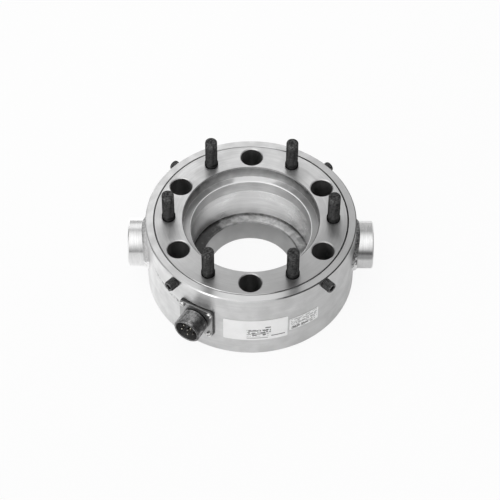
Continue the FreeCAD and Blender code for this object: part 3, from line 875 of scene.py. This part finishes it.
def makeStud(index):
    shape = studShape
    name = "mounting_stud_%d" % index
    low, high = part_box(name)
    studRadius = mounts["stud_pattern"]["dims"]["stud_r_mm"] * mm
    collarRadius = (high.y - low.y) / 2
    collarTop = mounts["stud_pattern"]["pos_m"][2] - topZ
    tip = high.z - topZ
    foot = low.z - topZ
    columns = shape["columns"]
    bevel = shape["tipBevel"]
    soft = shape["collarRound"]
    taper = collarTop - shape["collarTaper"]
    footRadius = shape["footRadius"]
    rings = ringStack(columns, [
        (foot, footRadius - bevel), (foot + bevel, footRadius), (0.0, footRadius),
        (0.0, collarRadius - soft), (soft, collarRadius), (taper - soft, collarRadius),
        (taper + soft * 0.4, collarRadius - soft * 0.8), (collarTop, studRadius)])
    rowCount = int((tip - collarTop) / (shape["pitch"] / shape["rowsPerTurn"]))
    for row in range(1, rowCount + 1):
        height = collarTop + (tip - collarTop) * row / rowCount
        fade = min(1.0, (height - collarTop) / shape["runOut"])
        fromTip = max(0.0, 1.0 - (tip - height) / bevel)
        limit = studRadius - bevel * (1.0 - math.sqrt(1.0 - fromTip ** 2)) if fromTip else studRadius
        rings.append(ringPoints(columns, height, threadRadius(shape, height, studRadius, fade, limit)))
    rings.append(ringPoints(columns, tip, shape["markRadius"]))
    markEnd = Vector((0, 0, tip - shape["markDepth"]))
    points, faces = loftedSolid(rings, Vector((0, 0, foot)), markEnd)
    crests = crestValues(points, studRadius, shape["threadDepth"])
    # Crest values fall away from the tip: a painted highlight on the upper threads; the collar keeps a
    # little, the tip face a fixed level
    for place, point in enumerate(points):
        fromTop = min(1.0, max(0.0, (tip - point.z) / shape["shineReach"]))
        onThread = 1.0 - shape["shineFall"] * fromTop
        crests[place] *= shape["collarShine"] if point.z <= collarTop else onThread
        if point.z > tip - 0.2 * bevel:
            crests[place] = shape["tipShine"]
    stud = meshPiece("stud_%d" % index, points, faces, materials["blackOxide"], 50.0, crests)
    centre = Vector(((low.x + high.x) / 2, (low.y + high.y) / 2, topZ))
    turn = Matrix.Rotation(math.radians(shape["turnDeg"] * index), 4, "Z")
    stud.data.transform(Matrix.Translation(centre) @ turn)
    keepPiece(stud, name)


for studIndex in range(1, mounts["stud_pattern"]["dims"]["count"] + 1):
    makeStud(studIndex)
print("studs made")


# Side screws: knurled heads with a hexagon socket
screwShape = {
    "frontDeg": 43.6, "backDeg": 45.6, "headDiameter": 9.7 * mm, "shankDiameter": 6.0 * mm, "columns": 144,
    "teeth": 24, "toothSpan": (0.2, 0.7), "knurlDepth": 0.32 * mm, "bevel": 0.6 * mm,
    "socketFlats": 5.0 * mm, "socketDepth": 4.5 * mm, "socketBevel": 0.3 * mm,
    "knurlShine": 0.7, "endShine": 1.0,
}


def hexagonRadius(flats):
    def radiusAt(angle):
        fromFlat = (angle + math.radians(30)) % math.radians(60) - math.radians(30)
        return flats / 2 / math.cos(fromFlat)
    return radiusAt


def knurlRadius(radius):
    toothStart, toothEnd = screwShape["toothSpan"]

    def radiusAt(angle):
        tooth = (angle * screwShape["teeth"] / (2 * math.pi)) % 1.0
        return radius - screwShape["knurlDepth"] * (0.0 if toothStart < tooth < toothEnd else 1.0)
    return radiusAt


def makeSideScrew(index, compassDeg):
    shape = screwShape
    name = "housing_screw_%d" % index
    axis = compassVector(compassDeg)
    tip, end = spanAlong(name, axis)
    head = shape["headDiameter"] / 2
    shank = shape["shankDiameter"] / 2
    seat = bodyRadius
    bevel = shape["bevel"]
    socketBevel = shape["socketBevel"]
    socket = hexagonRadius(shape["socketFlats"])
    socketMouth = hexagonRadius(shape["socketFlats"] + socketBevel * 2)
    floor = end - shape["socketDepth"]
    knurl = knurlRadius(head)
    plain = head - shape["knurlDepth"]
    rings = ringStack(shape["columns"], [
        (tip, shank - bevel), (tip + bevel, shank), (seat, shank), (seat, plain - bevel * 0.4),
        (seat + bevel * 0.4, plain), (seat + bevel, knurl), (end - bevel * 1.6, knurl),
        (end - bevel, plain), (end - bevel * 0.3, head - bevel * 0.7), (end, head - bevel * 1.4),
        (end, socketMouth), (end - socketBevel, socket), (floor, socket)])
    points, faces = loftedSolid(rings, Vector((0, 0, tip)), Vector((0, 0, floor - bevel)))
    crests = crestValues(points, head, shape["knurlDepth"])
    crests = [crest * shape["knurlShine"] for crest in crests]
    # The end of the head takes the full crest value: a painted highlight
    for place, point in enumerate(points):
        if point.z > end - bevel * 0.5:
            crests[place] = shape["endShine"]
    screw = meshPiece("side_screw_%d" % index, points, faces, materials["blackOxide"], 35.0, crests)
    layAlong(screw, middleZ(name), axis)
    keepPiece(screw, name)


screwCompass = (-90 - screwShape["frontDeg"], -90 + screwShape["frontDeg"],
                90 - screwShape["backDeg"], 90 + screwShape["backDeg"])
for screwIndex, screwDeg in enumerate(screwCompass):
    makeSideScrew(screwIndex + 1, screwDeg)
print("side screws made")


# Connector shell: threaded barrel, undercut, square flange with four holes, rear shell
shellShape = {
    "pitch": 1.27 * mm, "threadDepth": 0.62 * mm, "rowsPerTurn": 7, "columns": 96, "plainMouth": 1.6 * mm,
    "mouthBevel": 0.8 * mm, "bore": 21.6 * mm, "undercutLength": 1.1 * mm, "undercutDepth": 0.8 * mm,
    "lip": 0.8 * mm, "rear": 22.0 * mm, "rearBore": 18.6 * mm, "keyWidth": 1.8 * mm, "keyHeight": 0.9 * mm,
    "plateCorner": 2.6 * mm, "plateRound": 0.25 * mm, "holeSpacing": 27.0 * mm, "hole": 3.6 * mm,
    "plateOverlap": 0.05 * mm,
}
quarters = ((1, 1), (-1, 1), (-1, -1), (1, -1))


def roundedSquare(width, corner, cornerSteps=6):
    points = []
    inner = width / 2 - corner
    for quarter, (signX, signY) in enumerate(quarters):
        for step in range(cornerSteps + 1):
            angle = math.radians(90 * quarter + 90 * step / cornerSteps)
            x, y = corner * math.cos(angle), corner * math.sin(angle)
            points.append((signX * inner + x, signY * inner + y))
    return points


def roundOutline(radius, centre, count):
    steps = [2 * math.pi * step / count for step in range(count)]
    return [(centre[0] + radius * math.cos(a), centre[1] + radius * math.sin(a)) for a in steps]


# A flat plate with holes: closed outlines in one filled curve, its edges slightly rounded
def plateMesh(outlines, thickness, edgeRound):
    curve = bpy.data.curves.new("plateOutline", "CURVE")
    curve.dimensions = "2D"
    curve.fill_mode = "BOTH"
    curve.extrude = thickness / 2 - edgeRound
    curve.bevel_depth = edgeRound
    curve.bevel_resolution = 2
    curve.offset = -edgeRound
    for outline in outlines:
        spline = curve.splines.new("POLY")
        spline.points.add(len(outline) - 1)
        for point, (x, y) in zip(spline.points, outline):
            point.co = (x, y, 0, 1)
        spline.use_cyclic_u = True
    holder = bpy.data.objects.new("plateOutline", curve)
    scene.collection.objects.link(holder)
    bpy.context.view_layer.update()
    graph = bpy.context.evaluated_depsgraph_get()
    mesh = bpy.data.meshes.new_from_object(holder.evaluated_get(graph))
    bpy.data.objects.remove(holder)
    return mesh


# The turned part of the shell: out of the rear bore, along the outside and thread, and back down the bore
def shellRings(barrelRadius, undercut):
    shape = shellShape
    rearEnd, mouth = spanAlong("connector_shell", connectorAxis)
    lip = shape["lip"]
    threadStart = plateFront + shape["undercutLength"]
    threadEnd = mouth - shape["plainMouth"]
    columns = shape["columns"]
    rear = shape["rear"] / 2
    rearBore = shape["rearBore"] / 2
    bore = shape["bore"] / 2
    bevel = shape["mouthBevel"]
    rings = ringStack(columns, [
        (plateBack, rearBore), (rearEnd, rearBore), (rearEnd, rear - lip), (rearEnd + lip, rear),
        (plateBack, rear), (plateBack, undercut), (threadStart, undercut)])
    rowCount = int((threadEnd - threadStart) / shape["pitch"] * shape["rowsPerTurn"])
    for row in range(rowCount + 1):
        height = threadStart + (threadEnd - threadStart) * row / rowCount
        fade = min(1.0, (threadEnd - height) / shape["pitch"])
        limit = barrelRadius - max(0.0, lip - (height - threadStart))
        rings.append(ringPoints(columns, height, threadRadius(shape, height, barrelRadius, fade, limit)))
    return rings + ringStack(columns, [
        (mouth - bevel, barrelRadius), (mouth - bevel * 0.45, barrelRadius - bevel * 0.55),
        (mouth, barrelRadius - bevel), (mouth, bore + lip * 0.3), (mouth - lip * 0.3, bore),
        (plateBack, bore), (plateBack, rearBore)])


# The square flange, with a hole in each corner and a large one round the barrel
def flangePlate(undercut):
    shape = shellShape
    plateLeft, plateRight = spanAlong("connector_gasket", connectorSide)
    half = shape["holeSpacing"] / 2
    outlines = [roundedSquare(plateRight - plateLeft, shape["plateCorner"]),
                roundOutline(undercut - shape["plateOverlap"], (0, 0), 64)]
    for signX, signY in quarters:
        outlines.append(roundOutline(shape["hole"] / 2, (signX * half, signY * half), 28))
    plate = plateMesh(outlines, plateThickness, shape["plateRound"])
    points = [vertex.co + upwards * (plateBack + plateFront) / 2 for vertex in plate.vertices]
    return points, [tuple(polygon.vertices) for polygon in plate.polygons]


# The key along the top of the bore
def boreKey():
    shape = shellShape
    half = shape["keyWidth"] / 2
    low = shape["bore"] / 2 - shape["keyHeight"]
    high = shape["bore"] / 2 + shape["lip"] * 0.5
    insertFace = spanAlong("connector_insert", connectorAxis)[1]
    mouth = spanAlong("connector_shell", connectorAxis)[1]
    corners = ((-half, low), (half, low), (half, high), (-half, high))
    heights = (insertFace, mouth - shape["lip"])
    points = [Vector((x, y, height)) for height in heights for x, y in corners]
    return points, bandFaces(0, 4, 4) + [(3, 2, 1, 0), (4, 5, 6, 7)]


def makeConnectorShell():
    barrelRadius = mounts["connector_barrel"]["dims"]["r_mm"] * mm
    undercut = barrelRadius - shellShape["undercutDepth"]
    rings = shellRings(barrelRadius, undercut)
    points = [point for ring in rings for point in ring]
    faces = loftFaces(len(rings), shellShape["columns"])
    for morePoints, moreFaces in (flangePlate(undercut), boreKey()):
        first = len(points)
        points += morePoints
        faces += [tuple(first + index for index in face) for face in moreFaces]
    crests = crestValues(points, barrelRadius, shellShape["threadDepth"])
    crests = [crest if point.z > plateFront else 0.0 for crest, point in zip(crests, points)]
    shell = meshPiece("connector_body", points, faces, materials["connectorAlloy"], 35.0, crests)
    layAlong(shell, connectorZ, connectorAxis)
    keepPiece(shell, "connector_shell")


makeConnectorShell()
print("connector shell made")


# Weld beads: overlapping ripples round the root of each boss, following the housing
weldShape = {
    "leg": 4.0 * mm, "spread": 0.9 * mm, "columns": 368, "rows": 9, "bulge": 0.7 * mm, "bulgeLean": 0.7,
    "ripples": 46, "rippleDepth": 0.35 * mm, "rippleSlant": 0.35, "roughness": 0.25 * mm,
    "uneven": 0.5 * mm, "unevenShare": 0.8, "sink": 0.15 * mm, "thinBelow": 0.45, "thinAbove": 0.2,
}


def makeWeld(side, sign):
    shape = weldShape
    low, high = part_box("side_boss_" + side)
    bossRadius = (high.y - low.y) / 2
    bossZ = middleZ("side_boss_" + side)
    sink = shape["sink"]
    columns, rows = shape["columns"], shape["rows"]
    points = []
    for row in range(rows + 3):
        share = min(row / rows, 1.0)
        arch = math.sin(math.pi * share)
        slant = shape["rippleSlant"] * (row / rows - 0.5)
        for column in range(columns):
            angle = 2 * math.pi * column / columns
            beat = (shape["ripples"] * angle / (2 * math.pi) + slant) % 1.0
            drift = noise.noise(polar(3, angle, sign * 5.0))
            crumb = noise.noise(polar(16, angle, share * 3 + sign))
            below, above = max(0.0, -math.sin(angle)), max(0.0, math.sin(angle))
            reach = shape["leg"] - shape["uneven"] * (
                shape["unevenShare"] + drift * shape["unevenShare"])
            reach *= 1.0 - shape["thinBelow"] * below - shape["thinAbove"] * above
            lift = arch * (shape["bulge"] - shape["rippleDepth"] * beat ** 2)
            lift += arch * shape["roughness"] * crumb
            out = reach * (1.0 - share) + lift * shape["bulgeLean"]
            along = (reach + shape["spread"]) * share + lift * shape["bulgeLean"]
            # The last two rings run down inside the boss and back inside the housing
            if row == rows + 1:
                out, along = -sink, reach + shape["spread"]
            if row == rows + 2:
                out, along = -sink, -sink
            radius = bossRadius + out
            y, z = radius * math.cos(angle), radius * math.sin(angle)
            wallX = math.sqrt(bodyRadius ** 2 - y ** 2)
            points.append(Vector((sign * (wallX + along), sign * y, bossZ + z)))
    for column in range(columns):
        points.append(points[column] - Vector((sign * sink, 0, 0)))
    ringCount = rows + 4
    faces = loftFaces(ringCount, columns) + bandFaces((ringCount - 1) * columns, 0, columns)
    weld = meshPiece("weld_bead_" + side, points, faces, materials["weldSteel"], 60.0)
    keepPiece(weld, "boss_weld_" + side)


makeWeld("right", 1)
makeWeld("left", -1)
print("weld beads made")


# Labels: thin film bent to the housing, corners rounded
labelShape = {"corner": 1.2 * mm, "cornerSteps": 6, "columns": 48}


def makeLabel(name, pieceName, fields):
    nodePlaces = nodePoints(name)
    angles = [compassOf(point) for point in nodePlaces]
    radii = [math.hypot(point.x, point.y) for point in nodePlaces]
    low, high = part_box(name)
    middleAngle = (min(angles) + max(angles)) / 2
    width = (max(angles) - min(angles)) * max(radii)
    middle = polar(max(radii), middleAngle, middleZ(name))
    corner = labelShape["corner"]
    columns = labelShape["columns"]
    # Columns across the label, which crowd near the rounded ends
    quarter = math.pi / 2 / labelShape["cornerSteps"]
    stops = [corner * (1 - math.cos(quarter * step)) for step in range(labelShape["cornerSteps"])]
    inner = [corner + (width - 2 * corner) * step / columns for step in range(columns + 1)]
    stops = stops + inner + [width - stop for stop in reversed(stops)]
    outerPoints, innerPoints = [], []
    for stop in stops:
        fromEnd = min(stop, width - stop)
        cut = corner - math.sqrt(max(0.0, corner ** 2 - (corner - fromEnd) ** 2)) if fromEnd < corner else 0.0
        angle = middleAngle + (stop - width / 2) / max(radii)
        for z in (low.z + cut, high.z - cut):
            outerPoints.append(polar(max(radii), angle, z))
            innerPoints.append(polar(min(radii), angle, z))
    back = 2 * len(stops)
    last = back - 2
    faces = []
    for step in range(len(stops) - 1):
        a, b, c, d = 2 * step, 2 * step + 2, 2 * step + 3, 2 * step + 1
        faces.append((a, b, c, d))
        faces.append((back + d, back + c, back + b, back + a))
        faces.append((a, back + a, back + b, b))
        faces.append((c, back + c, back + d, d))
    faces.append((0, 1, back + 1, back))
    faces.append((last + 1, last, back + last, back + last + 1))
    material = makeLabelFilm(pieceName + "Film", middle, fields)
    label = meshPiece(pieceName, outerPoints + innerPoints, faces, material, 35.0)
    keepPiece(label, name)


# Each field: ink, whether it is solid, and its left, right, low and high edges from the middle in mm
largeFields = [
    ("paleInk", False, (-8, 12, -8.6, 1.2)), ("ink", False, (-6.5, 13.5, -8.0, 0.2)),
    ("paleInk", False, (-6.0, 13.0, -7.0, -3.5)), ("ink", False, (8.5, 13.5, -4, 5.5)),
    ("paleInk", True, (-8, 11, -11.6, -10.2)), ("ink", True, (14, 26.5, -9.6, -8.4)),
]
smallFields = [
    ("paleInk", False, (-13.5, 13.5, -7.0, 7)), ("paleInk", False, (-12.5, 12, -7.6, 7.6)),
    ("ink", False, (-13, 4, -7.0, -3.4)),
]
makeLabel("data_label", "large_label", largeFields)
makeLabel("second_label", "small_label", smallFields)
print("labels made")


# Floor, light and camera
studio = {
    "floorSize": 12.0, "floorDrop": 0.2 * mm, "floorTone": 0.86, "floorLighter": 1.03, "floorGlow": 0.90,
    "glowSpan": 150 * mm, "mirroredFront": (0.20, 0.03), "mirroredBack": (0.75, 0.24),
    "distance": 1.5675, "elevationDeg": 49.65, "azimuthDeg": 0.07, "rollDeg": 0.53, "lens": 125.6,
    "shiftRight": -0.002, "shiftUp": -0.064,
}


def rayMask(tree, kind):
    return makeNode(tree, "ShaderNodeLightPath", {}, kind)


# The camera sees pale paper. Metal mirrors it at one level in each corner, and it keeps the shadow.
def makeFloor():
    half = studio["floorSize"] / 2
    drop = -studio["floorDrop"]
    corners = [(-half, -half, drop), (half, -half, drop), (half, half, drop), (-half, half, drop)]
    material = bpy.data.materials.new("paleFloor")
    material.use_nodes = True
    tree = material.node_tree
    tree.nodes.clear()
    place = makeNode(tree, "ShaderNodeTexCoord", {}, "Object")
    lighter = studio["floorTone"] * studio["floorLighter"]
    tone = blend(patchField(place, 0.5, 0.6), studio["floorTone"], lighter)
    paper = makeNode(tree, "ShaderNodeBsdfDiffuse", {"Color": tone})
    x, y, z = split(place)
    span = studio["glowSpan"]
    toRight = remap(x, -span, span)
    toBack = remap(y, -span, span)
    nearLevel = levelBetween(toRight, *studio["mirroredFront"])
    farLevel = levelBetween(toRight, *studio["mirroredBack"])
    mirrorRay = calc("MAXIMUM", rayMask(tree, "Is Glossy Ray"), rayMask(tree, "Is Transmission Ray"))
    mirrored = levelBetween(toBack, nearLevel, farLevel) * mirrorRay
    reflected = makeNode(tree, "ShaderNodeEmission", {"Color": join(mirrored, mirrored, mirrored)})
    adder = makeNode(tree, "ShaderNodeAddShader", {0: paper, 1: reflected})
    glow = makeNode(tree, "ShaderNodeEmission", {"Strength": 1.0})
    seen = rayMask(tree, "Is Camera Ray") * studio["floorGlow"]
    mixer = makeNode(tree, "ShaderNodeMixShader", {0: seen, 1: adder, 2: glow})
    feed(mixer, tree.nodes.new("ShaderNodeOutputMaterial").inputs["Surface"])
    floor = meshPiece("floor", corners, [(0, 1, 2, 3)], material)


# The room: soft lobes of light, each with the compass and the elevation of its middle and a level
room = {
    "sharpness": 8.0,
    "lobes": [
        (0, 36, 0.33), (0, 62, 0.50), (0, 88, 0.48), (45, 10, 0.60), (45, 36, 0.08), (90, 10, 0.60),
        (90, 36, 0.10), (135, 36, 0.12), (144, 62, 0.33), (180, 36, 0.52), (216, 62, 0.64), (225, 10, 1.42),
        (225, 36, 0.36), (270, 36, 0.70), (288, 62, 0.44), (315, 36, 0.11),
    ],
}


def makeRoom():
    world = bpy.data.worlds.new("softRoom")
    scene.world = world
    world.use_nodes = True
    tree = world.node_tree
    tree.nodes.clear()
    direction = makeNode(tree, "ShaderNodeTexCoord", {}, "Generated")
    level = 0.0
    for compass, elevation, strength in room["lobes"]:
        facing = vectorCalc("DOT_PRODUCT", direction, compassVector(compass, elevation))
        level = level + calc("MAXIMUM", facing, 0.0) ** room["sharpness"] * strength
    soft = makeNode(tree, "ShaderNodeBackground", {"Color": join(level, level, level)})
    white = makeNode(tree, "ShaderNodeBackground", {"Color": 1.0})
    mixer = makeNode(tree, "ShaderNodeMixShader", {0: rayMask(tree, "Is Camera Ray"), 1: soft, 2: white})
    feed(mixer, tree.nodes.new("ShaderNodeOutputWorld").inputs["Surface"])


# Soft boxes: compass and elevation of their middle in degrees, distance, sides and power
softBoxes = {
    "backBox": (108, 38, 0.98, (0.7, 0.5), 0.50),
    "nearBack": (100, 42, 0.5, (0.35, 0.3), 0.13),
    "nearBackLeft": (140, 45, 0.5, (0.35, 0.3), 0.08),
    "nearFrontLeft": (-130, 50, 0.5, (0.35, 0.3), 0.06),
    "nearFrontRight": (-50, 50, 0.5, (0.35, 0.3), 0.03),
}


def makeSoftBox(name):
    compass, elevation, distance, sides, power = softBoxes[name]
    lamp = bpy.data.lights.new(name, "AREA")
    lamp.shape = "RECTANGLE"
    lamp.size, lamp.size_y = sides
    lamp.energy = power
    holder = bpy.data.objects.new(name, lamp)
    scene.collection.objects.link(holder)
    away = compassVector(compass, elevation)
    holder.location = away * distance + upwards * topZ
    holder.rotation_mode = "QUATERNION"
    holder.rotation_quaternion = away.to_track_quat("Z", "Y")


def makeCamera():
    camera = bpy.data.objects.new("camera", bpy.data.cameras.new("camera"))
    scene.collection.objects.link(camera)
    back = compassVector(studio["azimuthDeg"] - 90, studio["elevationDeg"])
    camera.location = upwards * topZ + back * studio["distance"]
    look = back.to_track_quat("Z", "Y").to_matrix().to_4x4()
    roll = Matrix.Rotation(math.radians(studio["rollDeg"]), 4, "Z")
    camera.matrix_world = Matrix.Translation(camera.location) @ look @ roll
    camera.data.lens = studio["lens"]
    camera.data.shift_x = studio["shiftRight"]
    camera.data.shift_y = studio["shiftUp"]
    scene.camera = camera


makeFloor()
makeRoom()
for boxName in softBoxes:
    makeSoftBox(boxName)
makeCamera()
print("floor, light and camera set")
